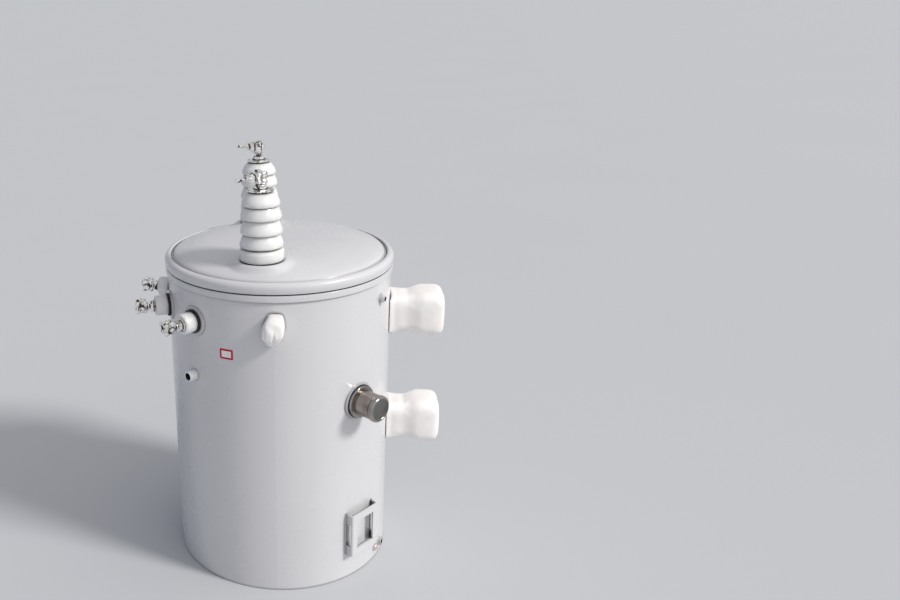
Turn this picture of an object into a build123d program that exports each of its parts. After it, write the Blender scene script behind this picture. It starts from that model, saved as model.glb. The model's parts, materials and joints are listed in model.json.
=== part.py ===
"""Single-phase pole mounted transformer: round tank with a rolled bead, domed cover on a rubber
ring, two porcelain high-voltage bushings, three low-voltage ones, wrapped pole hangers and
lifting lugs, tap changer, pipe coupling, rim plugs, ground boss, base plug and a low bracket.

Frame: +Z up, origin on the tank axis at the floor, +Y towards the pole, in millimetres.
Angles round the tank are in degrees from +X, counter-clockwise seen from above.
"""

import os

from math import cos, radians, sin, sqrt

from build123d import *

# Clearance between pieces that are shaped to each other
fit_gap = 0.3

# Tank
tank_radius = 278.0
tank_wall = 3.0
tank_height = 800.0
bottom_thickness = 4.0
bottom_recess = 12.0
bead_drop = 16.0
bead_height = 16.0
bead_stand_out = 3.5

# Cover
cover_thickness = 3.0
gasket_width = 12.0
gasket_height = 8.0
lip_stand_out = 5.5
lip_gap_to_bead = 2.5
lip_corner_radius = 13.0
groove_inset = 21.0
groove_width = 14.0
groove_depth = 2.5
knuckle_width = 65.0
crown_height = 30.0
crown_sphere_radius = 1800.0

# High-voltage bushings: their row on the cover, which is set a little off square
cover_turn = 4.4
hv_inset = 104.0
hv_row_y = -43.3
hv_pad_drop = 4.0
hv_pad_margin = 3.0
hv_gasket_thickness = 3.0
hv_gasket_inset = 0.5
hv_flange_radius = 52.0
hv_flange_height = 14.0
hv_shoulder_height = 22.0
hv_neck_radius = 38.0
hv_core_radius = 29.0
hv_shed_heights = (37.5, 69.0, 103.0, 132.5)
hv_shed_radii = (50.5, 49.0, 47.5, 44.0)
hv_rim_thickness = 9.0
hv_shed_rise = 15.0
hv_shed_fall = 5.0
hv_body_height = 157.0
hv_top_radius = 24.0
hv_cap_radius = 25.5
hv_cap_thickness = 5.0
hv_stud_lengths = (12.0, 18.0)
hv_bolt_end = 20.0
hv_clamp_turns = (-48.0, -95.0)

# Low-voltage bushings on the wall
lv_angles = (-43.0, -71.0, -99.0)
lv_drop = 105.0
lv_boss_radius = 35.5
lv_boss_stand_out = 3.5
lv_gasket_radius = 28.0
lv_gasket_thickness = 6.0
lv_body_radius = 24.5
lv_body_length = 38.0
lv_edge_round = 4.0
lv_cap_radius = 15.0
lv_cap_thickness = 2.5
lv_stud_length = 8.5
lv_bolt_end = 8.0
lv_clamp_turn = 165.0

# Terminal clamps, shared by all bushings
stud_radius = 6.0
nut_across_flats = 24.0
nut_height = 8.0
clamp_width = 28.0
clamp_height = 30.0
clamp_plate = 11.0
clamp_pad = 6.0
clamp_pad_height = 24.0
clamp_round = 7.0
clamp_gap = 1.0
clamp_bolt_radius = 4.0
clamp_nut_across_flats = 17.0
clamp_nut_height = 10.0
clamp_washer_radius = 11.0
clamp_washer_thickness = 3.0
clamp_head_across_flats = 13.0
clamp_head_height = 4.0

# Lifting lugs and their wraps
lug_angles = (0.0, 180.0)
lug_drop = 95.0
lug_plate = 10.0
lug_tall = 50.0
lug_reach = 36.0
lug_round = 12.0
lug_eye_radius = 11.0
lug_wrap_width = 52.0
lug_wrap_tall = 64.0
lug_wrap_reach = 47.0
lug_wrap_round = 15.0

# Pole hangers and their wraps
hanger_angle = 90.0
hanger_drop = 153.25
hanger_spacing = 285.75
hanger_plate = 6.0
hanger_width = 56.0
hanger_tall = 58.0
hanger_reach = 126.0
hanger_face = 84.0
hanger_slot_width = 22.0
hanger_slot_tall = 46.0
wrap_neck = 88.0
wrap_neck_round = 16.0
wrap_head = 111.0
wrap_head_depth = 68.0
wrap_head_round = 22.0
wrap_end_round = 15.0
wrap_reach = 134.5

# Tap changer
tap_angle = 45.2
tap_drop = 311.0
tap_seat_radius = 45.0
tap_seat_stand_out = 3.0
tap_gasket_radius = 41.5
tap_gasket_thickness = 3.0
tap_flange_radius = 40.5
tap_flange_thickness = 6.0
tap_flange_round = 2.0
tap_neck_radius = 31.5
tap_neck_length = 49.0
tap_cap_radius = 33.0
tap_cap_thickness = 7.5
tap_cap_round = 3.0

# Pipe coupling
pipe_angle = -44.5
pipe_drop = 245.0
pipe_radius = 12.5
pipe_bore_radius = 9.5
pipe_stand_out = 22.0

# Plugs in small bosses near the rim
plug_angles = (62.5, -117.5)
plug_drop = 75.0
plug_radius = 9.5
plug_bore_radius = 6.0
plug_bore_depth = 7.0
plug_stand_out = 12.0

# Support bracket low on the wall
bracket_angle = 47.5
bracket_bottom = 73.0
bracket_tall = 116.0
bracket_width = 98.0
bracket_plate = 4.5
bracket_bend = 6.0
bracket_stand_out = 19.0
window_width = 60.0
window_tall = 79.0
side_window_tall = 62.0
side_window_depth = 15.0
side_window_inset = 6.0

# Ground boss
ground_angle = 69.5
ground_height = 30.0
ground_radius = 10.5
ground_bore_radius = 6.35
ground_bore_depth = 7.5
ground_stand_out = 8.5

# Blind plug beside the ground boss
base_plug_angle = 63.0
base_plug_height = 30.0
base_plug_radius = 9.0
base_plug_stand_out = 7.0
base_plug_round = 2.5

# Levels of the cover's lip and of the bushings' seats
lip_top = tank_height + gasket_height + cover_thickness
lip_side = tank_radius + lip_stand_out
bead_top = tank_height - bead_drop
lip_bottom = bead_top + lip_gap_to_bead
crown_top = lip_top + crown_height
pad_top = crown_top - hv_pad_drop
hv_gasket_radius = hv_flange_radius - hv_gasket_inset
hv_base = pad_top + hv_gasket_thickness
lv_height = tank_height - lv_drop
lv_base = tank_radius + lv_boss_stand_out + lv_gasket_thickness
upper_hanger = tank_height - hanger_drop
hanger_heights = (upper_hanger - hanger_spacing, upper_hanger)


def radial_plane(angle, height):
    """Origin on the tank axis, local X tangential, local Y up, local Z outward."""
    turn = radians(angle)
    return Plane(
        origin=(0, 0, height),
        x_dir=(-sin(turn), cos(turn), 0),
        z_dir=(cos(turn), sin(turn), 0),
    )


def raised(shape, start):
    """Moves a shape built from local Z = 0 up to that start."""
    return Pos(0, 0, start) * shape


def disc(radius, length):
    """A cylinder standing on local Z = 0."""
    return Cylinder(radius, length, align=(Align.CENTER, Align.CENTER, Align.MIN))


def block(width, tall, length):
    """A block standing on local Z = 0."""
    return Box(width, tall, length, align=(Align.CENTER, Align.CENTER, Align.MIN))


def rounded_block(width, tall, length, corner, end_round):
    """A block on local Z = 0 whose long edges and outer end are rounded."""
    shape = fillet(block(width, tall, length).edges().filter_by(Axis.Z), corner)
    return fillet(shape.faces().sort_by(Axis.Z)[-1].edges(), end_round)


def hexagon(across_flats, height):
    """A hexagonal nut or bolt head standing on local Z = 0."""
    return extrude(RegularPolygon(across_flats / sqrt(3), 6), height)


def on_wall(angle, height, shape, gap=0.0):
    """Sets a shape on a radial plane and shapes its back to the tank's wall."""
    return radial_plane(angle, height) * shape - disc(tank_radius + gap, lip_bottom)


def revolved(build_outline):
    """Revolves the closed outline that the given function draws in radius and height."""
    with BuildSketch(Plane.XZ) as section:
        with BuildLine():
            build_outline()
        make_face()
    return revolve(section.sketch, Axis.Z)


def make_tank_shell():
    return disc(tank_radius, tank_height) - disc(tank_radius - tank_wall, tank_height)


def make_tank_bottom():
    return raised(disc(tank_radius - tank_wall, bottom_thickness), bottom_recess)


def make_tank_bead():
    """The rolled ring round the wall, just under the cover's lip."""
    side = tank_radius + bead_stand_out
    bottom = bead_top - bead_height
    shoulder = bead_height / 4

    def outline():
        Bezier((tank_radius, bottom), (side, bottom), (side, bottom + shoulder))
        Line((side, bottom + shoulder), (side, bead_top - shoulder))
        Bezier((side, bead_top - shoulder), (side, bead_top), (tank_radius, bead_top))
        Line((tank_radius, bead_top), (tank_radius, bottom))

    return revolved(outline)


def crown_drop(radius):
    """How far the cover's crown falls from its middle to that radius."""
    return crown_sphere_radius - sqrt(crown_sphere_radius**2 - radius**2)


def cover_solid(inset):
    """The solid under the cover's skin, with its surface moved inward by that inset."""
    top = lip_top - inset
    middle = crown_top - inset
    side = lip_side - inset
    corner = lip_corner_radius - inset
    groove = tank_radius - groove_inset
    groove_start = groove - groove_width / 2
    groove_end = groove + groove_width / 2
    crown_edge = groove_start - knuckle_width

    def outline():
        crown = ThreePointArc(
            (0, middle),
            (crown_edge / 2, middle - crown_drop(crown_edge / 2)),
            (crown_edge, middle - crown_drop(crown_edge)),
        )
        TangentArc(crown @ 1, (groove_start, top), tangent=crown % 1)
        ThreePointArc((groove_start, top), (groove, top - groove_depth), (groove_end, top))
        Line((groove_end, top), (side - corner, top))
        TangentArc((side - corner, top), (side, top - corner), tangent=(1, 0))
        Line((side, top - corner), (side, lip_bottom))
        Line((side, lip_bottom), (0, lip_bottom))
        Line((0, lip_bottom), (0, middle))

    return revolved(outline)


def make_cover_gasket():
    """The rubber ring between the wall's top edge and the inside of the cover."""
    height = gasket_height + cover_thickness
    ring = disc(tank_radius, height) - disc(tank_radius - gasket_width, height)
    return raised(ring, tank_height) & cover_solid(cover_thickness + fit_gap)


def hv_places():
    """The two high-voltage bushings' axes, turned with the cover."""
    reach = tank_radius - hv_inset
    return [Rot(0, 0, cover_turn) * Pos(x, hv_row_y, 0) for x in (reach, -reach)]


def make_cover():
    """The domed cover with its turned-down lip and a round pad under each bushing."""
    outer = cover_solid(0)
    pad = raised(disc(hv_gasket_radius + hv_pad_margin, pad_top - lip_top), lip_top)
    for place in hv_places():
        outer += place * pad
    return outer - cover_solid(cover_thickness)


def shed_points(height, radius):
    """The corners of one shed: under it, its rim's two edges, and above it, at the core."""
    half = hv_rim_thickness / 2
    return (
        (hv_core_radius, height - half - hv_shed_fall),
        (radius - half, height - half),
        (radius - half, height + half),
        (hv_core_radius, height + hv_shed_rise),
    )


def make_hv_porcelain():
    """Flange, shoulder and neck, then a row of sheds that shrink upward, on local Z = 0."""
    corner = 3.0
    side = hv_flange_radius
    shoulder = (hv_neck_radius, hv_shoulder_height)

    def outline():
        Line((0, 0), (side, 0))
        Line((side, 0), (side, hv_flange_height - corner))
        TangentArc(
            (side, hv_flange_height - corner), (side - corner, hv_flange_height), tangent=(0, 1)
        )
        Bezier((side - corner, hv_flange_height), (hv_neck_radius, hv_flange_height + 2), shoulder)
        last = shoulder
        for height, radius in zip(hv_shed_heights, hv_shed_radii):
            under, rim_low, rim_high, above = shed_points(height, radius)
            under = (last[0], under[1])
            Line(last, under)
            Line(under, rim_low)
            ThreePointArc(rim_low, (radius, height), rim_high)
            if height == hv_shed_heights[-1]:
                above = (hv_top_radius, hv_body_height - corner)
            waist = ((above[0] + rim_high[0]) / 2, rim_high[1] + (above[1] - rim_high[1]) / 4)
            Bezier(rim_high, waist, above)
            last = above
        Line(last, (hv_top_radius, hv_body_height))
        Line((hv_top_radius, hv_body_height), (0, hv_body_height))
        Line((0, hv_body_height), (0, 0))

    return revolved(outline)


def make_terminal(cap_radius, cap_thickness, stud_length, bolt_end):
    """Cap washer, nut and stud, whose flat head and loose pad a cross bolt draws together."""
    low = cap_thickness + stud_length
    middle = low + clamp_height / 2
    plate = fillet(block(clamp_plate, clamp_width, clamp_height).edges().filter_by(Axis.X), clamp_round)
    pad = fillet(
        block(clamp_pad, clamp_width, clamp_pad_height).edges().filter_by(Axis.X), clamp_round
    )
    pad_face = clamp_plate / 2 + clamp_gap
    shape = disc(cap_radius, cap_thickness)
    shape += raised(hexagon(nut_across_flats, nut_height), cap_thickness)
    shape += disc(stud_radius, low + clamp_height / 2)
    shape += raised(plate, low)
    shape += Pos(pad_face + clamp_pad / 2, 0, middle - clamp_pad_height / 2) * pad
    along_bolt = Pos(0, 0, middle) * Rot(0, 90, 0)
    start = -clamp_plate / 2 - clamp_head_height
    nut_start = pad_face + clamp_pad + clamp_washer_thickness
    length = nut_start + clamp_nut_height + bolt_end - start
    shape += along_bolt * raised(disc(clamp_bolt_radius, length), start)
    shape += along_bolt * raised(hexagon(clamp_head_across_flats, clamp_head_height), start)
    shape += along_bolt * raised(disc(clamp_washer_radius, clamp_washer_thickness), pad_face + clamp_pad)
    shape += along_bolt * raised(hexagon(clamp_nut_across_flats, clamp_nut_height), nut_start)
    return shape


def hv_nodes():
    nodes = {}
    sides = zip(("front", "back"), hv_places(), hv_clamp_turns, hv_stud_lengths)
    for side, place, turn, stud_length in sides:
        base = place * Pos(0, 0, hv_base)
        clamp = make_terminal(hv_cap_radius, hv_cap_thickness, stud_length, hv_bolt_end)
        nodes[f"hv_gasket_{side}"] = place * raised(disc(hv_gasket_radius, hv_gasket_thickness), pad_top)
        nodes[f"hv_bushing_{side}"] = base * make_hv_porcelain()
        top = base * Pos(0, 0, hv_body_height)
        nodes[f"hv_terminal_{side}"] = top * Rot(0, 0, turn - cover_turn) * clamp
    return nodes


def lv_nodes():
    """Each bushing's raised seat, rubber washer, porcelain and terminal."""
    boss = disc(lv_boss_radius, tank_radius + lv_boss_stand_out)
    gasket = raised(disc(lv_gasket_radius, lv_gasket_thickness), lv_base - lv_gasket_thickness)
    body = disc(lv_body_radius, lv_body_length)
    body = raised(fillet(body.edges().group_by(Axis.Z)[-1], lv_edge_round), lv_base)
    clamp = make_terminal(lv_cap_radius, lv_cap_thickness, lv_stud_length, lv_bolt_end)
    clamp = raised(Rot(0, 0, lv_clamp_turn) * clamp, lv_base + lv_body_length)
    nodes = {}
    for number, angle in enumerate(lv_angles, start=1):
        plane = radial_plane(angle, lv_height)
        nodes[f"lv_boss_{number}"] = on_wall(angle, lv_height, boss)
        nodes[f"lv_gasket_{number}"] = plane * gasket
        nodes[f"lv_bushing_{number}"] = plane * body
        nodes[f"lv_terminal_{number}"] = plane * clamp
    return nodes


def lug_nodes():
    """Upright plates with an eye, welded edge-on to the wall, and the foam round them."""
    reach = tank_radius + lug_reach
    height = tank_height - lug_drop
    plate = block(lug_plate, lug_tall, reach)
    plate = fillet(plate.faces().sort_by(Axis.Z)[-1].edges().filter_by(Axis.X), lug_round)
    eye = Rot(0, 90, 0) * Cylinder(lug_eye_radius, 2 * lug_plate)
    plate -= raised(eye, reach - lug_reach / 2)
    wrap = rounded_block(
        lug_wrap_width, lug_wrap_tall, tank_radius + lug_wrap_reach, lug_wrap_round, lug_wrap_round * 0.7
    )
    wrap -= block(lug_plate + 2 * fit_gap, lug_tall + 2 * fit_gap, reach + fit_gap)
    nodes = {}
    for side, angle in zip(("front", "back"), lug_angles):
        nodes[f"lifting_lug_{side}"] = on_wall(angle, height, plate)
        nodes[f"lug_wrap_{side}"] = on_wall(angle, height, wrap, fit_gap)
    return nodes


def make_hanger():
    """A welded channel with a slotted face plate, which hangs on the pole bolt."""
    reach = tank_radius + hanger_reach
    shape = block(hanger_width, hanger_tall, reach)
    shape -= block(hanger_width - 2 * hanger_plate, 2 * hanger_tall, reach - hanger_plate)
    shape += raised(block(hanger_face, hanger_face, hanger_plate), reach - hanger_plate)
    slot = block(hanger_slot_width, hanger_slot_tall, 3 * hanger_plate)
    return shape - raised(slot, reach - 2 * hanger_plate)


def make_hanger_wrap():
    """The foam round a hanger: a neck off the wall and a wider rounded head."""
    end = tank_radius + wrap_reach
    neck = block(wrap_neck, wrap_neck, end - wrap_head_depth / 2)
    neck = fillet(neck.edges().filter_by(Axis.Z), wrap_neck_round)
    head = rounded_block(wrap_head, wrap_head, wrap_head_depth, wrap_head_round, wrap_end_round)
    face_room = hanger_face + 2 * fit_gap
    face_start = tank_radius + hanger_reach - hanger_plate - fit_gap
    room = block(hanger_width + 2 * fit_gap, hanger_tall + 2 * fit_gap, face_start + hanger_plate)
    room += raised(block(face_room, face_room, hanger_plate + 2 * fit_gap), face_start)
    return neck + raised(head, end - wrap_head_depth) - room


def hanger_nodes():
    nodes = {}
    for level, height in zip(("lower", "upper"), hanger_heights):
        nodes[f"pole_hanger_{level}"] = on_wall(hanger_angle, height, make_hanger())
        nodes[f"hanger_wrap_{level}"] = on_wall(hanger_angle, height, make_hanger_wrap(), fit_gap)
    return nodes


def tap_changer_nodes():
    """Welded seat, rubber washer, rounded flange and a long neck that ends in a wider cap."""
    height = tank_height - tap_drop
    plane = radial_plane(tap_angle, height)
    seat = tank_radius + tap_seat_stand_out
    flange = seat + tap_gasket_thickness
    neck = flange + tap_flange_thickness
    flange_body = disc(tap_flange_radius, tap_flange_thickness)
    flange_body = fillet(flange_body.edges().group_by(Axis.Z)[-1], tap_flange_round)
    cap = disc(tap_cap_radius, tap_cap_thickness)
    cap = fillet(cap.edges().group_by(Axis.Z)[-1], tap_cap_round)
    cap = raised(cap, tap_neck_length) + disc(tap_neck_radius, tap_neck_length)
    return {
        "tap_changer_seat": on_wall(tap_angle, height, disc(tap_seat_radius, seat)),
        "tap_changer_gasket": plane * raised(disc(tap_gasket_radius, tap_gasket_thickness), seat),
        "tap_changer_flange": plane * raised(flange_body, flange),
        "tap_changer_cap": plane * raised(cap, neck),
    }


def make_boss(angle, height, radius, stand_out, bore_radius, bore_depth):
    """A round boss on the wall with a bore from its outer end."""
    end = tank_radius + stand_out
    return on_wall(angle, height, disc(radius, end) - raised(disc(bore_radius, bore_depth), end - bore_depth))


def make_base_plug():
    end = tank_radius + base_plug_stand_out
    plug = disc(base_plug_radius, end)
    plug = fillet(plug.faces().sort_by(Axis.Z)[-1].edges(), base_plug_round)
    return on_wall(base_plug_angle, base_plug_height, plug)


def make_bracket():
    """A bent channel welded to the wall, with a window in its front and both sides."""
    front = tank_radius + bracket_stand_out
    inside = front - bracket_plate
    outer = fillet(
        block(bracket_width, bracket_tall, front).faces().sort_by(Axis.Z)[-1].edges().filter_by(Axis.Y),
        bracket_bend,
    )
    hollow = fillet(
        block(bracket_width - 2 * bracket_plate, 2 * bracket_tall, inside)
        .faces().sort_by(Axis.Z)[-1].edges().filter_by(Axis.Y),
        bracket_bend - bracket_plate,
    )
    window = raised(block(window_width, window_tall, 3 * bracket_plate), front - 2 * bracket_plate)
    side_window = block(2 * bracket_width, side_window_tall, side_window_depth)
    side_window = raised(side_window, front - side_window_inset - side_window_depth)
    height = bracket_bottom + bracket_tall / 2
    return on_wall(bracket_angle, height, outer - hollow - window - side_window)


def build_nodes():
    nodes = {
        "tank_shell": make_tank_shell(),
        "tank_bottom": make_tank_bottom(),
        "tank_bead": make_tank_bead(),
        "cover_gasket": make_cover_gasket(),
        "cover": make_cover(),
        "pipe_coupling": make_boss(
            pipe_angle, tank_height - pipe_drop, pipe_radius, pipe_stand_out, pipe_bore_radius, pipe_stand_out
        ),
        "support_bracket": make_bracket(),
        "ground_boss": make_boss(
            ground_angle, ground_height, ground_radius, ground_stand_out, ground_bore_radius, ground_bore_depth
        ),
        "base_plug": make_base_plug(),
    }
    for side, angle in zip(("front", "back"), plug_angles):
        nodes[f"rim_plug_{side}"] = make_boss(
            angle, tank_height - plug_drop, plug_radius, plug_stand_out, plug_bore_radius, plug_bore_depth
        )
    return nodes | hv_nodes() | lv_nodes() | lug_nodes() | hanger_nodes() | tap_changer_nodes()


os.makedirs("parts", exist_ok=True)
for name, shape in build_nodes().items():
    export_step(shape, f"parts/{name}.step")
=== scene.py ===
"""Looks of the transformer: materials, clamps, foam wraps, welds, camera and light round the frame."""

import json
import math

import bpy
from mathutils import Matrix, Vector, noise


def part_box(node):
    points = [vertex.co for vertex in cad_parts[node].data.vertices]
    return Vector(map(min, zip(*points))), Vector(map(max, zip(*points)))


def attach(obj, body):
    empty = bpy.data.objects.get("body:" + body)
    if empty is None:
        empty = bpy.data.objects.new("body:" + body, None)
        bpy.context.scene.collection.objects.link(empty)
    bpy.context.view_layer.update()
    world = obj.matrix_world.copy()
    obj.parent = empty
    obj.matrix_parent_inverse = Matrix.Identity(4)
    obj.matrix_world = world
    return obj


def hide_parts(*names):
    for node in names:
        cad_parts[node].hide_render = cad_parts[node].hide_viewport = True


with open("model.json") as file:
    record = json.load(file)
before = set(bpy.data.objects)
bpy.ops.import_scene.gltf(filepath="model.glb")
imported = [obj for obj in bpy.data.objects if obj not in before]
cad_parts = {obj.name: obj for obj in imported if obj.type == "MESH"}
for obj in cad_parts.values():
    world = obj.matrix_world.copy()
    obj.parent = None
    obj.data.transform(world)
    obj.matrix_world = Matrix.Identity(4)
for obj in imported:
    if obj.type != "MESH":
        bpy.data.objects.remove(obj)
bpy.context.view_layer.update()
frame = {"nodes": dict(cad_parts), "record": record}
MM = 0.001

# Camera of the photograph, in the object's frame.
CAMERA_PLACE = Vector((2.1577, 0.1055, 1.4457))
CAMERA_AZIMUTH = math.radians(185.483)
CAMERA_PITCH = math.radians(20.086)
CAMERA_ROLL = math.radians(-1.706)
FOCAL_PIXELS = 900.75
PRINCIPAL_POINT = (239.62, 307.616)
PHOTO_WIDTH, PHOTO_HEIGHT = 900, 600
SENSOR_WIDTH = 36.0
FAR_CLIP = 1000.0

# Light and floor. Each pair of tones runs from the side away from the lamp to the lamp's side.
LAMP_SIDE = (0.30, 0.75, 0.55)
LAMP_SPREAD = (-0.65, 0.95)
LIGHT_TONES = ((0.022, 0.058, 0.15), (0.82, 0.80, 0.785))
BACKDROP_TONES = ((0.42, 0.44, 0.47), (0.72, 0.72, 0.73))
LAMP_DISTANCE = 4
FLOOR_HALF = 400

# Sizes of the tank and its fittings, in millimetres and degrees round the tank.
TANK_RADIUS = 278.0
HV_BASE = 840.0
HV_CAP = (26.5, 5.0)
LV_ANGLES = (-43.0, -71.0, -99.0)
LV_HEIGHT = 695.0
LV_BASE = 287.5
LV_LENGTH = 30.0
LV_CAP = (16.5, 3.5)
HANGER_ANGLE = 90
HANGER_HEIGHTS = {"upper": 646.75, "lower": 361.0}
LUG_ANGLES = {"front": 0.0, "back": 180.0}
LUG_HEIGHT = 705.0
TAP_CHANGER = (45.2, 489.0)
PIPE_COUPLING = (-44.5, 555.0)
GROUND_BOSS = (69.5, 30.0)
BASE_PLUG = (63.0, 30.0)
# Bosses whose bores are made black, a painted shade in the holes: angle, height and bore radius.
BORES = {"pipe_coupling": (*PIPE_COUPLING, 9.5), "ground_boss": (*GROUND_BOSS, 6.35)}
BORE_MARGIN = 0.4
BRACKET_ANGLE = 47.5
BRACKET_HALF_WIDTH = 49.0
BRACKET_SPAN = (73.0, 189.0)
RIM_PLUGS = {"front": 62.5, "back": -117.5}
RIM_PLUG_HEIGHT = 725.0
STICKER = (-23.6, 632.0)

# Points round each kind of ring.
ROUND_POINTS = 48
TANK_POINTS = 240
CORNERED_POINTS = 56
THREAD_POINTS = 24
WELD_POINTS = 8
FINE_POINTS = 96
SHORT_POINTS = 64

# Nuts: share of the half width that stays flat, and slope of the cone that cuts the corners.
NUT_FACE = 0.93
NUT_CHAMFER = math.radians(30)
# Threads: depth, then length and depth of the tapered end, as shares of the pitch.
THREAD_DEPTH = 0.55
THREAD_TAPER = (0.8, 0.5)
ROWS_PER_TURN = 6
# Plates: middle of the rounded edge, as a share of it, and spread of the waist in radians.
EDGE_MIDDLE = 0.3
WAIST_WIDTH = 0.26

# Numbers of the sockets that a Mix node uses for colours.
MIX_FIRST, MIX_SECOND, MIX_RESULT = 6, 7, 2
# Where nearly all values of a noise texture lie.
NOISE_SPREAD = (0.2, 0.8)
# Painted shade in corners: openness of a place that counts as a corner and gets the full shade, and of one
# that counts as open.
CORNER_SPREAD = (0.34, 0.86)
CORNER_SAMPLES = 8

# Clamps. Turn of the jaws, height of the stud under them, and length of the bolt past its nut.
HV_CLAMPS = {"front": (-48.0, 12.0, 33.0), "back": (-95.0, 18.0, 20.0)}
LV_CLAMP = (165.0, 15.5, 8.0)
HV_CLAMP_SPREAD = 1.18
# Slots of a clamp's materials. The second is dark metal, painted shade between the parts with some tarnish.
BRONZE, SHADE_AND_TARNISH, RUBBER_AND_SHADE = range(3)
# Outlines of the round parts on the stud and on the cross bolt: radius, height.
STUD_WASHER = ((13.6, 0), (14, 0.3), (14, 1.2), (13.6, 1.5), (7, 1.5))
STUD_COLLAR = ((9.5, 0), (10.5, 0.5), (10.5, 2.2), (9.4, 3.0), (6, 3.0))
HEAD_WASHER = ((9.0, 0), (9.4, 0.3), (9.4, 1.5), (9, 1.8))
BOLT_WASHER = ((11.2, 0), (11.6, 0.3), (11.6, 1.5), (11.2, 1.8), (5, 1.8))
LOCK_WASHER = ((7.6, 1.8), (8.2, 2.1), (8.2, 3.9), (7.6, 4.2), (5, 4.2))
# Nuts: width across flats, height. Threads: radius, pitch.
STUD_NUT = (24, 7.5)
HEAD_NUT = (14, 4.4)
BOLT_NUT = (18, 8)
STUD_THREAD = (6, 1.75)
BOLT_THREAD = (4.4, 1.5)
NUT_TURN = 17
# The jaws and what lies between them: start along the bolt, then thickness, width, height and corner,
# then slot, rounding of the edge and depth of the waist.
JAWS = (
    (-6.5, (11, 31, 30, 6), (BRONZE, 1.6, 0.24)),
    (7.5, (7.5, 31, 26, 6), (BRONZE, 1.4, 0.22)),
    (3, (6, 23, 20, 5), (SHADE_AND_TARNISH, 0.4, 0.2)),
)
JAW_MIDDLE = 15
STUD_IN_JAWS = 6
COLLAR_DROP = 3.2
# Starts along the cross bolt, from the middle of the jaws.
HEAD_WASHER_START = -8.2
HEAD_NUT_START = -12.4
BOLT_START = 5
BOLT_WASHER_START = 15
BOLT_LENGTH = 22

# Porcelain: radius and height of each point.
HV_FOOT = ((46, 0), (51.2, 0), (52, 0.9), (52, 17), (51.2, 21), (48.5, 25), (45, 27.5), (42.6, 30))
# Height and radius of each shed, and how far each point of a shed lies inside that and above it.
HV_SHEDS = ((37.5, 50.5), (69.0, 49.0), (103.0, 47.5), (132.5, 44.0))
SHED_OUTLINE = (
    (9.5, -3.0), (5, -6.2), (1.6, -7), (0.1, -5.2), (0, -2), (1.1, 3), (3.0, 9), (5.6, 15), (8.2, 20),
)
# The shoulder takes the place of the last points of the top shed.
SHOULDER_POINTS = 3
HV_SHOULDER = ((39.5, 142), (34.5, 149), (29.5, 154.4), (25.5, 156.6), (22, 157), (8, 157))
LV_OUTLINE = (
    (23.6, 0), (24.5, 0.8), (24.5, LV_LENGTH - 5), (23.6, LV_LENGTH - 2), (21, LV_LENGTH), (8, LV_LENGTH),
)

# Cover: radius and height of each point, then single sizes.
COVER_CROWN = (
    (0.1, 841), (60, 840.4), (120, 838.4), (170, 834.6), (205, 829.2), (230, 823.2), (246, 818.4),
    (254, 815.2),
)
COVER_RIM = (
    (258, 812.6), (260.6, 809.6), (262.8, 806.8), (265, 806.0), (267, 807.6), (268.8, 810.2), (270.6, 811),
)
COVER_SIDE = 283.5
COVER_CORNER = 12
CORNER_HEIGHT = 799
LIP_BOTTOM = 786.5
LIP_INSIDE = 279.2
COVER_LIP = (
    (COVER_SIDE, LIP_BOTTOM + 1.2), (282.9, LIP_BOTTOM + 0.2), (281.6, LIP_BOTTOM), (LIP_INSIDE, LIP_BOTTOM),
)
COVER_UNDERSIDE = 790
# The pads under the tall bushings blend into the crown and fade out before the groove.
PAD_TOP = 837.0
PAD_RADIUS = 53.0
PAD_BLEND = 26.0
PAD_LIMIT = 250
PAD_FADE = 18

# Bead, rubber under the cover that also stands in for the shadow line under the lip, and tap changer's cap:
# radius and height of each point.
BEAD_OUTLINE = (
    (277.5, 770.6), (279.4, 769.0), (281.4, 767.4), (282.5, 768.8), (282.5, 780.6), (281.6, 783),
    (279.6, 784), (277.5, 784),
)
SEAL_SHADOW_OUTLINE = ((277.5, 783.4), (280.2, 783.6), (280.6, 785.2), (280.2, 786.8), (277.5, 787))
DIAL_NECK = ((31.5, 0), (31.5, 41.5), (30.4, 42.2), (30.2, 44.0), (31.4, 44.8), (32.4, 45.2), (33, 46.2))
DIAL_RIM = ((33, 49.6), (32.6, 52.0), (31.5, 54.0), (29.8, 55.6), (27.8, 56.4))
DIAL_FACE = ((26.8, 56.3), (26.0, 55.7), (25.4, 54.8), (24.8, 54.5), (12, 54.5), (1, 54.6))
DIAL_STAND_OUT = 12

# Foam wraps, swollen by a short cloth simulation.
FOAM_VOXEL = 5
FOAM_PRESSURE = 4
FOAM_FRAMES = 20
FOAM_REACH = 2.5
FOAM_GAP = 0.6
# Noise per metre of the folds, of the coarse crumples and of the fine ones, and the folds' height and depth.
FOLD_NOISE, COARSE_NOISE, FINE_NOISE = 34, 26, 60
FOLD_HEIGHT, FOLD_DEPTH = 0.4, 2.2
FINE_SHARE = 0.4
# Foam that is crumpled less than this has no folds.
FOLD_START = 1.6
# Distance from the wall at which a wrap no longer follows its curve.
FOAM_FLAT = 60
# From the wall outward: distance, half width, corner.
HANGER_WRAP = (
    (0.0, 50.5, 9), (4.0, 49.5, 11), (12.0, 47.2, 12), (42.0, 47.0, 14), (54.0, 49.5, 17), (66.0, 53.5, 21),
    (78.0, 56.2, 24), (104.0, 56.2, 24), (118.0, 55.0, 24), (127.5, 51.0, 24), (132.0, 43.0, 20),
)
# How far the foam sits above the fitting's middle, at its neck and at its head.
FOAM_SHIFTS = {"upper": (2.0, 4.5), "lower": (-8.0, -4.5)}
NECK_LENGTH = 44
NECK_TO_HEAD = 30
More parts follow.
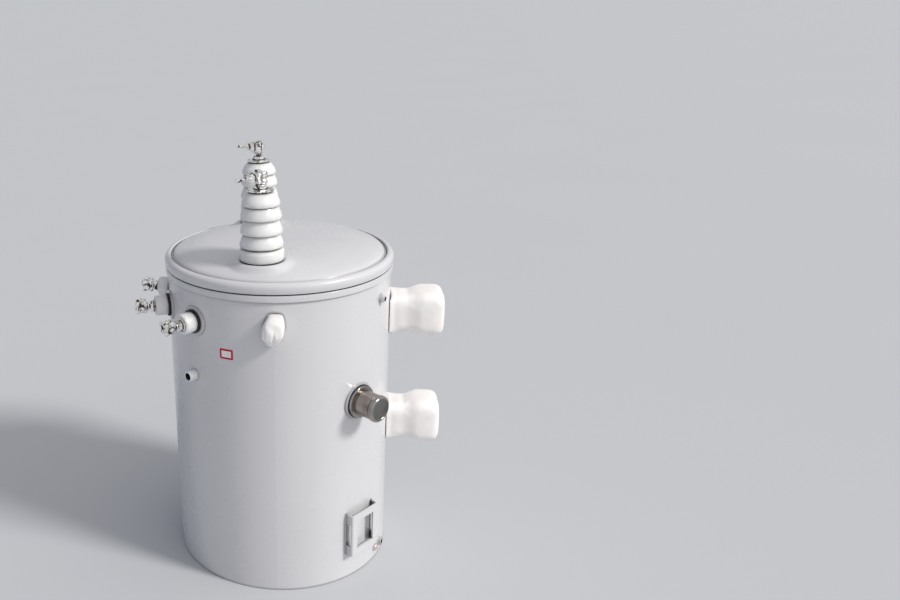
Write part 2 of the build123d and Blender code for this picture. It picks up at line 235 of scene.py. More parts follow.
# From bottom to top: height, half width, reach from the wall, sideways shift.
LUG_WRAP = (
    (-38.0, 9.0, 15, -3.5), (-33.0, 12.5, 24, -3), (-22.0, 19.0, 36, -1.5), (-9.0, 25.0, 44, -0.5),
    (5.0, 26.5, 46, 0.5), (17.0, 24.5, 45, 1.5), (27.0, 21.0, 41, 3), (34.0, 18.0, 36, 4),
    (38.0, 15.0, 27, 4.5),
)
LUG_CORNER = 0.42
LUG_FOAM_START = 0.3
# Forms pinched into a lug's wrap: middle and width sideways, then upward, and how far each stands out.
PINCH_VALLEY = (1.5, 2.0, -9, 13, -4.5)
PINCH_EDGE = (-18.5, 1.8, -6, 22, -3.0)
PINCH_LIP = (-6, 6, -30, 4, 4.0)
VALLEY_LEAN = 0.1
# The forms fade in over this depth, once that far from the wall.
PINCH_FADE = 15

# Welds. Angle and height of the place, then radius and size of the bead.
RING_WELDS = (
    *((angle, LV_HEIGHT, 35.5, 1.3) for angle in LV_ANGLES),
    (*TAP_CHANGER, 45.0, 0.9),
    (*PIPE_COUPLING, 12.5, 1.8),
    (*GROUND_BOSS, 10.5, 1.4),
    (*BASE_PLUG, 9.0, 1.2),
    *((angle, RIM_PLUG_HEIGHT, 9.5, 1.5) for angle in RIM_PLUGS.values()),
)
# Height and pace of a bead's ripples, height and noise per metre of its lumps, and its steps.
RIPPLE_HEIGHT, RIPPLE_PACE = 0.16, 1.7
LUMP_HEIGHT, LUMP_NOISE = 0.25, 90
STEPS_PER_RADIUS, LEAST_STEPS = 3, 40
LINE_STEP = 2
BRACKET_WELD = 1.9
BRACKET_WELD_OFFSET = 0.8

# Sticker. Distance in from its edge, and off the wall. The first two bands between these are the border.
STICKER_ROWS = ((0.0, 0.05), (0.0, 0.3), (4.6, 0.32), (6.2, 0.32), (8.0, 0.32), (9.8, 0.32), (11.6, 0.32))
STICKER_SLOTS = [0, 0, 1, 1, 1, 1]
STICKER_HALF = (17, 12.5)
STICKER_CORNER = 2.6
FACE_CORNER = 0.4

# Black plugs set into the bosses near the rim, a painted shade standing in for their open holes.
RIM_HOLE_SHADE = ((6.8, 0), (6.8, 4.8), (6.4, 5.4), (4.2, 5.4), (4.0, 4.8), (3.9, 2), (1, 1.8))
RIM_HOLE_SHADE_START = 5


# Shapes


def limited(value):
    """The value, kept between 0 and 1."""
    return min(max(value, 0), 1)


def bell(offset, width, power=2):
    """One where the offset is nothing, falling away on both sides."""
    return math.exp(-((offset / width) ** power))


def turns(count):
    """The angles of that many points once round."""
    return [2 * math.pi * k / count for k in range(count)]


def lifted(height):
    return Matrix.Translation((0, 0, height * MM))


def turned(degrees):
    return Matrix.Rotation(math.radians(degrees), 4, "Z")


def wall_place(angle, height, radius=0.0):
    """Local X tangential, Y up and Z outward, at that angle, height and distance from the axis."""
    turn = math.radians(angle)
    out = Vector((math.cos(turn), math.sin(turn), 0))
    side = Vector((-math.sin(turn), math.cos(turn), 0))
    rows = Matrix((side, Vector((0, 0, 1)), out)).transposed().to_4x4()
    return Matrix.Translation(out * radius * MM + Vector((0, 0, height * MM))) @ rows


def circle(radius, height, count=ROUND_POINTS):
    return [(radius * math.cos(turn), radius * math.sin(turn), height) for turn in turns(count)]


def between(p, q, r, s, t):
    """The value at share t of the way from q to r, on a smooth curve through all four."""
    square = 2 * p - 5 * q + 4 * r - s
    cube = 3 * q - p - 3 * r + s
    return 0.5 * (2 * q + (r - p) * t + square * t**2 + cube * t**3)


def eased(points, parts=4):
    """The same outline with more points, on a smooth curve through the given ones."""
    ends = [points[0], *points, points[-1]]
    result = []
    for a, b, c, d in zip(ends, ends[1:], ends[2:], ends[3:]):
        for part in range(parts):
            t = part / parts
            result.append(tuple(between(p, q, r, s, t) for p, q, r, s in zip(a, b, c, d)))
    return result + [points[-1]]


def hexagon_radius(turn, across_flats):
    """Distance from a hexagon's middle to its side in that direction."""
    return across_flats / 2 / math.cos((turn + math.pi / 6) % (math.pi / 3) - math.pi / 6)


def rounded_ring(half_width, half_tall, corner):
    """Points round a rectangle with round corners, evenly shared between sides and corners."""
    points = []
    inner = (half_width - corner, half_tall - corner)
    for turn in turns(CORNERED_POINTS):
        x, y = math.cos(turn), math.sin(turn)
        share = math.atan2(abs(y), abs(x)) / (math.pi / 2)
        bend = limited((share - 0.25) * 2) * math.pi / 2
        px = inner[0] + corner * math.cos(bend)
        py = inner[1] + corner * math.sin(bend)
        if share < 0.25:
            py = inner[1] * share * 4
        if share > 0.75:
            px = inner[0] * (1 - share) * 4
        points.append((math.copysign(1, x) * px, math.copysign(1, y) * py))
    return points


class Shape:
    """Gathers closed rings of points, in millimetres, into the mesh of one piece."""

    def __init__(self):
        self.points = []
        self.faces = []
        self.slots = []

    def rings(self, rings, place=Matrix(), slot=0, closed=False):
        """Joins rings of equal length by quads. A closed row joins last to first, an open one is capped."""
        start = len(self.points)
        count = len(rings[0])
        for ring in rings:
            self.points += [place @ (Vector(point) * MM) for point in ring]
        rows = len(rings) if closed else len(rings) - 1
        row_slots = slot if isinstance(slot, list) else [slot] * rows
        for row in range(rows):
            low = start + row * count
            high = start + (row + 1) % len(rings) * count
            for k in range(count):
                following = (k + 1) % count
                self.faces.append((low + k, low + following, high + following, high + k))
                self.slots.append(row_slots[row])
        if not closed:
            end = start + (len(rings) - 1) * count
            self.faces.append(tuple(start + k for k in reversed(range(count))))
            self.faces.append(tuple(end + k for k in range(count)))
            self.slots += [row_slots[0], row_slots[-1]]

    def lathe(self, profile, place, slot=0, count=ROUND_POINTS):
        self.rings([circle(radius, height, count) for radius, height in profile], place, slot)

    def nut(self, across_flats, height, place):
        """A hexagon whose corners are turned off by a cone at both ends."""
        flat = across_flats / 2 * NUT_FACE
        slope = math.tan(NUT_CHAMFER)
        around = turns(ROUND_POINTS)
        reach = [hexagon_radius(turn, across_flats) for turn in around]

        def ring(points):
            return [(r * math.cos(turn), r * math.sin(turn), z) for turn, (r, z) in zip(around, points)]

        self.rings([
            ring([(flat, 0)] * ROUND_POINTS),
            ring([(r, (r - flat) * slope) for r in reach]),
            ring([(r, height - (r - flat) * slope) for r in reach]),
            ring([(flat, height)] * ROUND_POINTS),
        ], place)

    def thread(self, radius, pitch, length, place, slot=0):
        """A rod whose surface rises and falls along a helix, with a tapered end."""
        steps = max(int(length / pitch * ROWS_PER_TURN), ROWS_PER_TURN)
        taper_length, taper_depth = THREAD_TAPER
        rings = [circle(radius - pitch * THREAD_DEPTH, 0, THREAD_POINTS)]
        for row in range(steps + 1):
            height = length * row / steps
            taper = max(0.0, 1 - (length - height) / (pitch * taper_length)) * pitch * taper_depth
            ring = []
            for k, turn in enumerate(turns(THREAD_POINTS)):
                phase = (height / pitch - k / THREAD_POINTS) % 1
                r = radius - pitch * THREAD_DEPTH * abs(2 * phase - 1) - taper
                ring.append((r * math.cos(turn), r * math.sin(turn), height))
            rings.append(ring)
        self.rings(rings, place, slot)

    def plate(self, thickness, width, tall, corner, place, slot, edge, notch):
        """A plate in local Y and Z from X = 0, with round corners and edges and waisted sides."""
        quarter = math.pi / 2
        offsets = [(turn + quarter / 2) % quarter - quarter / 2 for turn in turns(CORNERED_POINTS)]
        waist = [1 - notch * bell(offset, WAIST_WIDTH) for offset in offsets]
        levels = [(0, edge), (edge * EDGE_MIDDLE, edge * EDGE_MIDDLE), (edge, 0)]
        levels += [(thickness - x, inset) for x, inset in reversed(levels)]
        rings = []
        for x, inset in levels:
            outline = rounded_ring(width / 2 - inset, tall / 2 - inset, corner - inset)
            rings.append([(x, y * share, z * share) for (y, z), share in zip(outline, waist)])
        self.rings(rings, place, slot)

    def weld(self, path, size, seed):
        """A closed rippled bead along points that carry their outward direction."""
        rings = []
        for k, (point, out) in enumerate(path):
            ahead = path[(k + 1) % len(path)][0] - path[k - 1][0]
            side = ahead.cross(out).normalized()
            lumps = noise.noise(point * LUMP_NOISE + Vector((seed, 0, 0)))
            ripple = 1 + RIPPLE_HEIGHT * math.sin(k * RIPPLE_PACE) + LUMP_HEIGHT * lumps
            ring = []
            for turn in turns(WELD_POINTS):
                towards = side * math.cos(turn) + out * math.sin(turn)
                ring.append((point + towards * size * ripple * MM) / MM)
            rings.append(ring)
        self.rings(rings, closed=True)

    def piece(self, name, materials, sharp=35.0):
        """Makes the object, smooth but for edges sharper than that, and lets it ride on the tank."""
        mesh = bpy.data.meshes.new(name)
        mesh.from_pydata(self.points, [], self.faces)
        mesh.validate()
        for material in materials:
            mesh.materials.append(material)
        mesh.polygons.foreach_set("use_smooth", [True] * len(mesh.polygons))
        mesh.polygons.foreach_set("material_index", self.slots)
        mesh.set_sharp_from_angle(angle=math.radians(sharp))
        piece = bpy.data.objects.new(name, mesh)
        bpy.context.scene.collection.objects.link(piece)
        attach(piece, "root")
        return piece


def on_wall(place, x, y, stand_out=0.0):
    """A point of the wall beside that place, with its outward direction."""
    turn = math.asin(x / TANK_RADIUS)
    across = Vector((math.sin(turn), 0, math.cos(turn)))
    local = (TANK_RADIUS + stand_out) * MM * across
    local.y = y * MM
    return place @ local, place.to_3x3() @ across


def weld_ring(shape, angle, height, radius, size, seed):
    """A bead on the wall round that place."""
    place = wall_place(angle, height)
    count = max(int(radius * STEPS_PER_RADIUS), LEAST_STEPS)
    path = [on_wall(place, radius * math.cos(turn), radius * math.sin(turn)) for turn in turns(count)]
    shape.weld(path, size, seed)


def weld_line(shape, angle, x, low, high, size, seed):
    """A bead up the wall, closed by a row that runs back inside it."""
    place = wall_place(angle, 0)
    count = int((high - low) / LINE_STEP)
    path = [on_wall(place, x, low + (high - low) * k / count) for k in range(count + 1)]
    shape.weld(path, size, seed)


# Shader nodes


def map_range(tree, value, low, high, to_low=0.0, to_high=1.0):
    """The value with its spread from low to high laid over another spread, and kept inside that."""
    node = tree.nodes.new("ShaderNodeMapRange")
    node.inputs["From Min"].default_value = low
    node.inputs["From Max"].default_value = high
    node.inputs["To Min"].default_value = to_low
    node.inputs["To Max"].default_value = to_high
    tree.links.new(value, node.inputs["Value"])
    return node.outputs["Result"]


def colour_ramp(tree, value, *stops):
    """A colour from that value through the given (place, colour) stops."""
    ramp = tree.nodes.new("ShaderNodeValToRGB")
    ramp.color_ramp.interpolation = "EASE"
    elements = ramp.color_ramp.elements
    while len(elements) < len(stops):
        elements.new(0.5)
    for element, (place, colour) in zip(elements, stops):
        element.position = place
        element.color = (*colour, 1)
    tree.links.new(value, ramp.inputs["Fac"])
    return ramp.outputs["Color"]


def colour_mix(tree, share):
    """A node that goes from its first colour to its second as that share rises."""
    node = tree.nodes.new("ShaderNodeMix")
    node.data_type = "RGBA"
    tree.links.new(share, node.inputs[0])
    return node


class Surface:
    """A material whose Principled shader is fed by procedural textures in the object's space."""

    def __init__(self, name, **sockets):
        self.material = bpy.data.materials.new(name)
        self.material.use_nodes = True
        self.tree = self.material.node_tree
        self.shader = self.tree.nodes["Principled BSDF"]
        for socket, value in sockets.items():
            self.shader.inputs[socket.replace("_", " ")].default_value = value
        self.coords = self.tree.nodes.new("ShaderNodeTexCoord")
        self.normal = None

    def link(self, source, target):
        self.tree.links.new(source, target)

    def noise(self, scale, detail=3.0, stretch=(1, 1, 1)):
        mapping = self.tree.nodes.new("ShaderNodeMapping")
        mapping.inputs["Scale"].default_value = stretch
        self.link(self.coords.outputs["Object"], mapping.inputs["Vector"])
        texture = self.tree.nodes.new("ShaderNodeTexNoise")
        texture.inputs["Scale"].default_value = scale
        texture.inputs["Detail"].default_value = detail
        self.link(mapping.outputs["Vector"], texture.inputs["Vector"])
        return texture.outputs["Fac"]

    def cells(self, scale):
        texture = self.tree.nodes.new("ShaderNodeTexVoronoi")
        texture.inputs["Scale"].default_value = scale
        self.link(self.coords.outputs["Object"], texture.inputs["Vector"])
        return texture.outputs["Distance"]

    def colours(self, value, *stops):
        """Base colour from that texture through the given (place, colour) stops."""
        self.link(colour_ramp(self.tree, value, *stops), self.shader.inputs["Base Color"])

    def corners(self, reach_mm, dark):
        """Painted shade in corners and under edges, darkening the colours set before."""
        near = self.tree.nodes.new("ShaderNodeAmbientOcclusion")
        near.inputs["Distance"].default_value = reach_mm * MM
        near.samples = CORNER_SAMPLES
        open_colour = self.shader.inputs["Base Color"].links[0].from_socket
        mix = colour_mix(self.tree, map_range(self.tree, near.outputs["AO"], *CORNER_SPREAD))
        # Colour of the painted shade in closed-in places.
        mix.inputs[MIX_FIRST].default_value = (*dark, 1)
        self.link(open_colour, mix.inputs[MIX_SECOND])
        self.link(mix.outputs[MIX_RESULT], self.shader.inputs["Base Color"])

    def roughness(self, value, low, high):
        self.link(map_range(self.tree, value, *NOISE_SPREAD, low, high), self.shader.inputs["Roughness"])

    def bump(self, value, height_mm, strength=1.0):
        node = self.tree.nodes.new("ShaderNodeBump")
        node.inputs["Strength"].default_value = strength
        node.inputs["Distance"].default_value = height_mm * MM
        self.link(value, node.inputs["Height"])
        if self.normal:
            self.link(self.normal, node.inputs["Normal"])
        self.normal = node.outputs["Normal"]
        self.link(self.normal, self.shader.inputs["Normal"])


# Materials


def make_paint(name, shade_reach):
    """Gloss light grey paint with faint orange peel, streaks, patchy gloss and painted shade in corners and
    under edges.
    """
    paint = Surface(name, Coat_Weight=0.5, Coat_Roughness=0.06)
    streaks = paint.noise(9, 4, (1, 1, 0.18))
    paint.colours(streaks, (0.2, (0.628, 0.627, 0.648)), (0.8, (0.664, 0.660, 0.674)))
    # Painted shade: darker in corners and under edges.
    paint.corners(shade_reach, (0.05, 0.05, 0.06))
    paint.roughness(paint.noise(14, 3), 0.22, 0.31)
    paint.bump(paint.noise(4, 1), 1.0, 0.4)
    paint.bump(paint.noise(330, 1), 0.035, 0.6)
    return paint.material


def make_rubber():
    rubber = Surface("gasket_rubber", Specular_IOR_Level=0.3)
    rubber.colours(rubber.noise(60), (0.3, (0.012, 0.012, 0.013)), (0.7, (0.03, 0.03, 0.032)))
    rubber.roughness(rubber.noise(90), 0.5, 0.75)
    rubber.bump(rubber.noise(600), 0.06)
    return rubber.material


def make_porcelain():
    """White glaze, a little uneven in tone and gloss, with soft waves and painted shade in the creases."""
    glaze = Surface(
        "porcelain", Coat_Weight=0.25, Coat_Roughness=0.08, Subsurface_Weight=0.75,
        Subsurface_Radius=(0.036, 0.035, 0.034), Subsurface_Scale=1.0,
    )
    glaze.colours(glaze.noise(22, 4), (0.3, (0.79, 0.79, 0.778)), (0.7, (0.83, 0.828, 0.816)))
    # Painted shade in the creases under the sheds.
    glaze.corners(9, (0.22, 0.21, 0.20))
    glaze.roughness(glaze.noise(40), 0.28, 0.42)
    glaze.bump(glaze.noise(28, 1), 0.5, 0.35)
    glaze.bump(glaze.noise(420, 1), 0.02, 0.5)
    return glaze.material


def make_tinned_bronze():
    """Bright silver with black patches, which stand in for dark reflections and shade as well as tarnish,
    and a little gold and mauve beside them.
    """
    metal = Surface("terminal_metal", Metallic=1.0)
    patches = metal.noise(95, 3)
    metal.colours(
        patches,
        # Black stop: painted dark reflections and shade, with tarnish.
        (0.37, (0.025, 0.022, 0.025)),
        (0.43, (0.78, 0.74, 0.66)),
        (0.49, (0.97, 0.967, 0.955)),
        (0.74, (0.90, 0.865, 0.875)),
    )
    metal.roughness(metal.noise(70), 0.12, 0.34)
    metal.bump(metal.noise(380, 3), 0.12, 0.7)
    return metal.material


def make_metal(name, low, high, tone, gloss, marks):
    """Metal of two mingled tones. Tone, gloss and marks each start with the scale of their noise."""
    metal = Surface(name, Metallic=1.0)
    tone_scale, tone_detail = tone
    metal.colours(metal.noise(tone_scale, tone_detail), (0.3, low), (0.7, high))
    gloss_scale, smooth, rough = gloss
    metal.roughness(metal.noise(gloss_scale), smooth, rough)
    mark_scale, mark_detail, height_mm, strength = marks
    metal.bump(metal.noise(mark_scale, mark_detail), height_mm, strength)
    return metal.material


def make_plating(name, low, high):
    """Plating over turned steel, with fine turning marks."""
    return make_metal(name, low, high, (30, 3), (50, 0.13, 0.23), (500, 2, 0.03, 0.5))


def make_foam():
    """Thin white packing foam: matt and soft, with fine cells and shallow crumples."""
    foam = Surface(
        "foam", Subsurface_Weight=0.12, Subsurface_Radius=(0.012, 0.010, 0.008), Subsurface_Scale=1.0,
        Specular_IOR_Level=0.35, Sheen_Weight=0.08,
    )
    foam.colours(foam.noise(26, 3), (0.3, (0.89, 0.856, 0.84)), (0.7, (0.925, 0.902, 0.89)))
    foam.roughness(foam.noise(60), 0.5, 0.68)
    foam.bump(foam.noise(20, 4), 1.5, 0.5)
    foam.bump(foam.noise(85, 3), 0.5, 0.5)
    foam.bump(foam.cells(520), 0.12, 0.5)
    return foam.material


def make_ink(name, low, high):
    """Thin colour with little gloss, for the sticker and the coupling's primer."""
    ink = Surface(name, Specular_IOR_Level=0.2)
    ink.colours(ink.noise(260, 2), (0.35, low), (0.65, high))
    ink.roughness(ink.noise(200), 0.3, 0.42)
    ink.bump(ink.noise(150), 0.05)
    return ink.material


MATERIALS = {
    "tank_paint": make_paint("tank_paint", 11),
    "gasket_rubber": make_rubber(),
    "porcelain": make_porcelain(),
    "terminal_metal": make_tinned_bronze(),
    "polished_metal": make_plating("polished_metal", (0.27, 0.25, 0.235), (0.40, 0.375, 0.355)),
    "boss_metal": make_metal(
        "boss_metal", (0.55, 0.54, 0.52), (0.80, 0.79, 0.77),
        (120, 4), (90, 0.28, 0.5), (450, 3, 0.08, 0.6),
    ),
    "foam": make_foam(),
}
# Neck, rolled rim and sunken face of the tap changer's cap. The rim's plating is lighter, a painted
# highlight on the polished rim.
DIAL_METALS = [
    make_plating("smoky_plating", (0.25, 0.215, 0.195), (0.36, 0.32, 0.295)),
    # Lighter plating: painted highlight on the rim.
    make_plating("rim_plating_painted_highlight", (0.30, 0.28, 0.27), (0.42, 0.395, 0.38)),
    make_plating("dark_face", (0.16, 0.155, 0.145), (0.22, 0.215, 0.20)),
]
# The same paint with painted shade that reaches further, darkening the inside of the bracket.
BRACKET_SHADE_PAINT = make_paint("bracket_deep_shade_paint", 34)
PALE = make_ink("pale_primer", (0.78, 0.80, 0.83), (0.86, 0.87, 0.89))
COPPER = make_metal(
    "plug_copper", (0.72, 0.55, 0.54), (0.93, 0.80, 0.80),
    (110, 4), (80, 0.3, 0.5), (420, 3, 0.08, 0.6),
)
STICKER_RED = make_ink("sticker_border", (0.48, 0.004, 0.035), (0.60, 0.01, 0.05))
STICKER_WHITE = make_ink("sticker_face", (0.86, 0.80, 0.80), (0.92, 0.90, 0.89))
# Dark metal between a clamp's jaws and on its thread and washers: painted shade between the parts, with some
# tarnish.
SHADE_AND_TARNISH_METAL = make_metal(
    "tarnish_and_painted_shade_metal", (0.10, 0.085, 0.08), (0.26, 0.21, 0.19),
    (150, 3), (100, 0.35, 0.6), (400, 3, 0.1, 1.0),
)


def dress_nodes():
    """Gives each node its slot's material or one of its own, and the open bosses black in their bores:
    painted shade in the holes, over bare dark thread.
    """
    slots = {part["node"]: part["material_slot"] for part in frame["record"]["subparts"]}
    own = {"base_plug": COPPER, "support_bracket": BRACKET_SHADE_PAINT, "pipe_coupling": PALE}
    for name, node in frame["nodes"].items():
        node.data.materials.clear()
        node.data.materials.append(own.get(name, MATERIALS[slots[name]]))
    # Black faces inside the bores: painted shade in the holes.
    for name, (angle, height, bore) in BORES.items():
        node = frame["nodes"][name]
        node.data.materials.append(MATERIALS["gasket_rubber"])
        inward = wall_place(angle, height).inverted() @ node.matrix_world
        reach = (bore + BORE_MARGIN) * MM
        for face in node.data.polygons:
            corners = [inward @ node.data.vertices[number].co for number in face.vertices]
            face.material_index = int(all(corner.xy.length < reach for corner in corners))


# Clamps on the bushings


def make_clamp(node, place, cap, stud_length, bolt_end):
    """Domed cap on a black rubber ring that also stands in for the shadow under it, locked nut, threaded
    stud and two jaws that a cross bolt draws together.
    """
    cap_radius, cap_thickness = cap
    side_top = cap_thickness * 0.6
    shape = Shape()
    # Black rubber ring under the cap: a gasket and a painted shadow line.
    shape.lathe([(cap_radius - 2.2, 0), (cap_radius - 1.4, 0.4), (cap_radius - 1.8, 1.2)], place, RUBBER_AND_SHADE)
    shape.lathe([
        (cap_radius - 1, 1.0), (cap_radius, 1.5), (cap_radius, side_top),
        (cap_radius - 1.3, side_top + 0.9), (cap_radius * 0.8, cap_thickness - 0.3),
        (cap_radius * 0.62, cap_thickness), (7, cap_thickness),
    ], place)
    top = place @ lifted(cap_thickness)
    shape.lathe(STUD_WASHER, top, SHADE_AND_TARNISH)
    shape.nut(*STUD_NUT, top @ lifted(STUD_WASHER[-1][1]) @ turned(NUT_TURN))
    shape.thread(*STUD_THREAD, stud_length + STUD_IN_JAWS, top, SHADE_AND_TARNISH)
    shape.lathe(STUD_COLLAR, top @ lifted(stud_length - COLLAR_DROP))
    middle = place @ lifted(cap_thickness + stud_length + JAW_MIDDLE)
    for start, sizes, finish in JAWS:
        shape.plate(*sizes, middle @ Matrix.Translation((start * MM, 0, 0)), *finish)
    along = middle @ Matrix.Rotation(math.radians(90), 4, "Y")
    shape.lathe(HEAD_WASHER, along @ lifted(HEAD_WASHER_START), SHADE_AND_TARNISH)
    shape.nut(*HEAD_NUT, along @ lifted(HEAD_NUT_START))
    washer = along @ lifted(BOLT_WASHER_START)
    shape.lathe(BOLT_WASHER, washer)
    shape.lathe(LOCK_WASHER, washer, SHADE_AND_TARNISH)
    shape.nut(*BOLT_NUT, washer @ lifted(LOCK_WASHER[-1][1]) @ turned(NUT_TURN))
    shape.thread(*BOLT_THREAD, BOLT_LENGTH + bolt_end, along @ lifted(BOLT_START))
    materials = [MATERIALS["terminal_metal"], SHADE_AND_TARNISH_METAL, MATERIALS["gasket_rubber"]]
    clamp = shape.piece(node.replace("terminal", "clamp"), materials)
    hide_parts(node)


def hv_place(side, height):
    """The bushing's axis, from the middle of its node, at that height."""
    low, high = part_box(f"hv_bushing_{side}")
    return Matrix.Translation(((low[0] + high[0]) / 2, (low[1] + high[1]) / 2, height * MM))


def place_clamps():
    """The clamps on the tall bushings are the same but wider."""
    wider = Matrix.Diagonal((HV_CLAMP_SPREAD, HV_CLAMP_SPREAD, 1, 1))
    for side, (turn, stud_length, bolt_end) in HV_CLAMPS.items():
        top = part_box(f"hv_bushing_{side}")[1][2] / MM
        place = hv_place(side, top) @ turned(turn) @ wider
        make_clamp(f"hv_terminal_{side}", place, HV_CAP, stud_length, bolt_end)
    turn, stud_length, bolt_end = LV_CLAMP
    for number, angle in enumerate(LV_ANGLES, start=1):
        place = wall_place(angle, LV_HEIGHT, LV_BASE + LV_LENGTH) @ turned(turn)
        make_clamp(f"lv_terminal_{number}", place, LV_CAP, stud_length, bolt_end)


# Porcelain, cover, bead and tap changer


def make_porcelain_bodies():
    """Glazed bodies whose sheds droop over a stout core, and the short plain ones on the wall."""
    outline = list(HV_FOOT)
    for height, radius in HV_SHEDS:
        outline += [(radius - inside, height + above) for inside, above in SHED_OUTLINE]
    outline = [*outline[:-SHOULDER_POINTS], *HV_SHOULDER]
    for side in HV_CLAMPS:
        shape = Shape()
        shape.lathe(eased(outline), hv_place(side, HV_BASE), count=FINE_POINTS)
        body = shape.piece(f"hv_porcelain_{side}", [MATERIALS["porcelain"]], sharp=60)
        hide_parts(f"hv_bushing_{side}")
    for number, angle in enumerate(LV_ANGLES, start=1):
        shape = Shape()
        shape.lathe(eased(LV_OUTLINE), wall_place(angle, LV_HEIGHT, LV_BASE), count=SHORT_POINTS)
        body = shape.piece(f"lv_porcelain_{number}", [MATERIALS["porcelain"]], sharp=60)
        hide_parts(f"lv_bushing_{number}")


def make_cover():
    """The pressed cover: a full crown, a crisp groove, a rolled lip and soft pads for the bushings."""
    corner = []
    for degrees in range(0, 91, 10):
        turn = math.radians(degrees)
        radius = COVER_SIDE - COVER_CORNER + COVER_CORNER * math.sin(turn)
        corner.append((radius, CORNER_HEIGHT + COVER_CORNER * math.cos(turn)))
    inside = [(LIP_INSIDE, COVER_UNDERSIDE), (1, COVER_UNDERSIDE)]
    outline = eased(COVER_CROWN, parts=8) + eased(COVER_RIM, parts=3) + corner + [*COVER_LIP, *inside]
    middles = [hv_place(side, 0).translation.xy / MM for side in HV_CLAMPS]
    rings = []
    for radius, height in outline:
        ring = []
        for x, y, z in circle(radius, height, TANK_POINTS):
            away = min((Vector((x, y)) - middle).length for middle in middles)
            share = limited(1 - (away - PAD_RADIUS) / PAD_BLEND) * limited((PAD_LIMIT - radius) / PAD_FADE)
            share = share * share * (3 - 2 * share)
            ring.append((x, y, z + max(PAD_TOP - z, 0) * share))
        rings.append(ring)
    shape = Shape()
    shape.rings(rings)
    cover = shape.piece("pressed_cover", [MATERIALS["tank_paint"]], sharp=50)
    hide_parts("cover")


def make_rim_rings():
    """The rolled bead with a crisp lower edge, and the black rubber that shows between it and the cover,
    also standing in for the shadow under the lip.
    """
    shape = Shape()
    outline = eased(BEAD_OUTLINE, parts=3)
    shape.rings([circle(radius, height, TANK_POINTS) for radius, height in outline], closed=True)
    bead = shape.piece("rolled_bead", [MATERIALS["tank_paint"]], sharp=60)
    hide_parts("tank_bead")
    shape = Shape()
    # Black ring: a squeezed gasket and a painted shadow line under the lip.
    shape.rings([circle(radius, height, TANK_POINTS) for radius, height in SEAL_SHADOW_OUTLINE], closed=True)
    shape.piece("rim_rubber_shadow_line", [MATERIALS["gasket_rubber"]], sharp=60)


def make_tap_changer():
    """Smoky neck, a thin groove, and a polished rolled rim, made lighter as a painted highlight, round a
    dark sunken face.
    """
    slots = [0] * len(DIAL_NECK) + [1] * len(DIAL_RIM) + [2] * (len(DIAL_FACE) - 1)
    place = wall_place(*TAP_CHANGER, TANK_RADIUS + DIAL_STAND_OUT)
    shape = Shape()
    shape.lathe(DIAL_NECK + DIAL_RIM + DIAL_FACE, place, slots, FINE_POINTS)
    cap = shape.piece("tap_changer_dial_cover", DIAL_METALS, sharp=40)
    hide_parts("tap_changer_cap")


# Foam wraps


def puff(piece, seed, crumpled, grip):
    """Swells the piece as cloth under pressure and crumples it, but not within the grip on the wall."""

    def held(point):
        return point.xy.length < (TANK_RADIUS + grip) * MM

    remesh = piece.modifiers.new("even", "REMESH")
    remesh.mode = "VOXEL"
    remesh.voxel_size = FOAM_VOXEL * MM
    bake(piece)
    before = [vertex.co.copy() for vertex in piece.data.vertices]
    group = piece.vertex_groups.new(name="held")
    group.add([k for k, point in enumerate(before) if held(point)], 1.0, "REPLACE")
    cloth = piece.modifiers.new("swell", "CLOTH")
    cloth.settings.effector_weights.gravity = 0
    cloth.settings.use_pressure = True
    cloth.settings.uniform_pressure_force = FOAM_PRESSURE
    cloth.settings.vertex_group_mass = "held"
    cloth.settings.quality = 4
    cloth.point_cache.frame_start = 1
    cloth.point_cache.frame_end = FOAM_FRAMES
    for number in range(1, FOAM_FRAMES + 1):
        bpy.context.scene.frame_set(number)
    bake(piece)
    bpy.context.scene.frame_set(1)
    for vertex, start in zip(piece.data.vertices, before):
        if held(start):
            vertex.co = start
            continue
        move = vertex.co - start
        if move.length > FOAM_REACH * MM:
            move = move.normalized() * FOAM_REACH * MM
        fold = FOLD_HEIGHT - FOLD_DEPTH * abs(noise.noise(start * FOLD_NOISE + Vector((0, 0, seed))))
        crumple = noise.noise(start * COARSE_NOISE + Vector((seed, 0, 0)))
        crumple += FINE_SHARE * noise.noise(start * FINE_NOISE + Vector((0, seed, 0)))
        crumple += fold * max(crumpled - FOLD_START, 0)
        vertex.co = start + move + vertex.normal * crumple * crumpled * MM
    relax = piece.modifiers.new("relax", "SMOOTH")
    relax.factor = 0.5
    relax.iterations = 4
    smooth = piece.modifiers.new("fine", "SUBSURF")
    smooth.levels = 1
    bake(piece)
    piece.data.polygons.foreach_set("use_smooth", [True] * len(piece.data.polygons))


def bake(piece):
    """Applies the piece's modifiers to its mesh."""
    graph = bpy.context.evaluated_depsgraph_get()
    mesh = bpy.data.meshes.new_from_object(piece.evaluated_get(graph))
    piece.modifiers.clear()
    piece.data = mesh


def depth_on_wall(x, out):
    """Distance from the axis plane of a point that lies out from the wall, flat again further out."""
    curve = math.sqrt(TANK_RADIUS**2 - x**2)
    share = max(0.0, 1 - out / FOAM_FLAT)
    return (TANK_RADIUS + FOAM_GAP) * (1 - share) + (curve + FOAM_GAP) * share + out


def declare_foam(piece, node):
    piece.data.materials.clear()
    piece.data.materials.append(MATERIALS["foam"])
    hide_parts(node)


